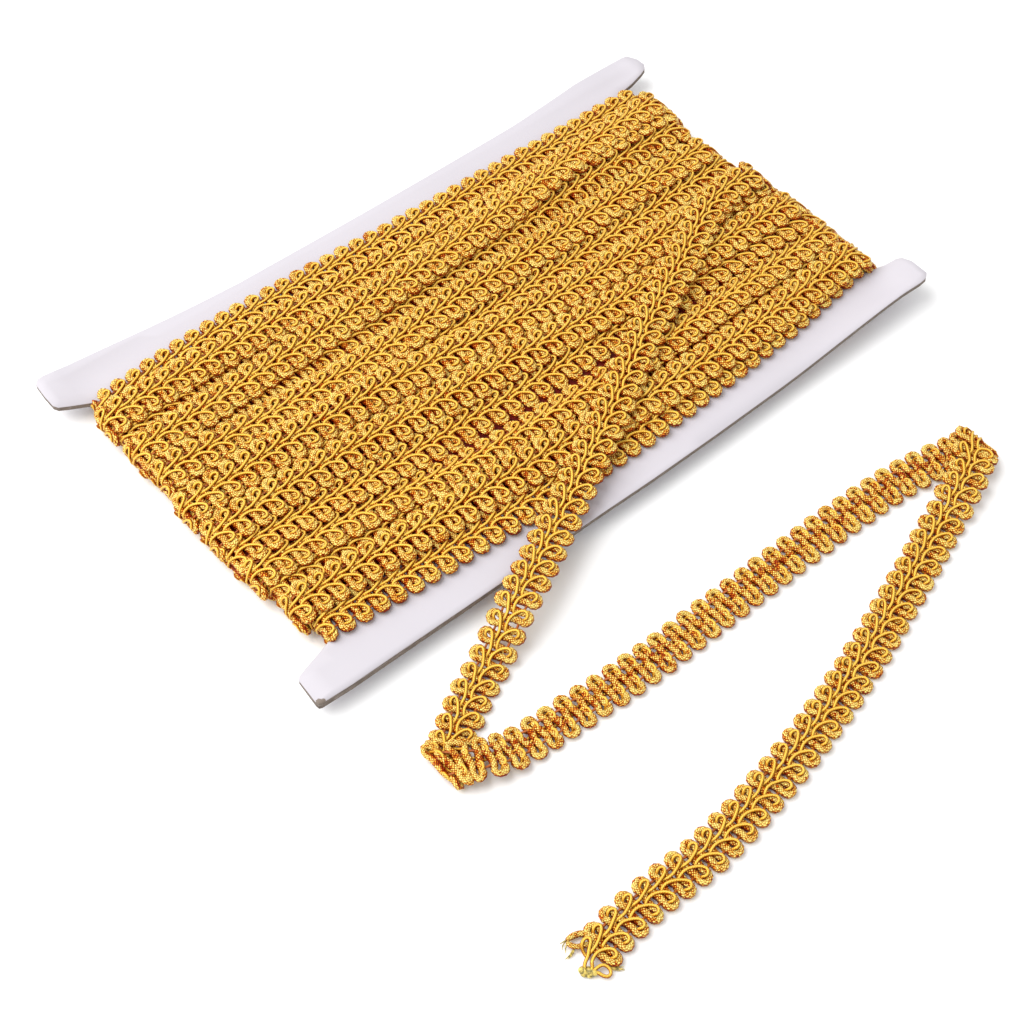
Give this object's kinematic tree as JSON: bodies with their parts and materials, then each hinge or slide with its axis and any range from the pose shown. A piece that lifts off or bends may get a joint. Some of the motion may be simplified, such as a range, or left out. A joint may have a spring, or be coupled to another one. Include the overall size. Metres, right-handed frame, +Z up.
{
  "type": "gimp braid trim wound on a card",
  "caption": "Scalloped gimp braid trim wound flat round a notched card, its free end lying beside it in a folded zigzag, for edging upholstery, lampshades and curtains",
  "frame": {"origin": "on the surface on which the trim lies, under the centre of the bounding box of the card, the winding and the tail", "axes": "X along the long side of the card, Y across the card from the folded tail to the far long edge, Z up from the surface"},
  "size_m": [0.2696, 0.2796, 0.0137],
  "materials": {
    "card": "matt white paper faces, grey cut edges",
    "braid": "crinkled metallic cord with satin cord, bright gold"
  },
  "bodies": {
    "root": {"card": "card", "winding": "braid", "tail": "braid"}
  },
  "joints": []
}
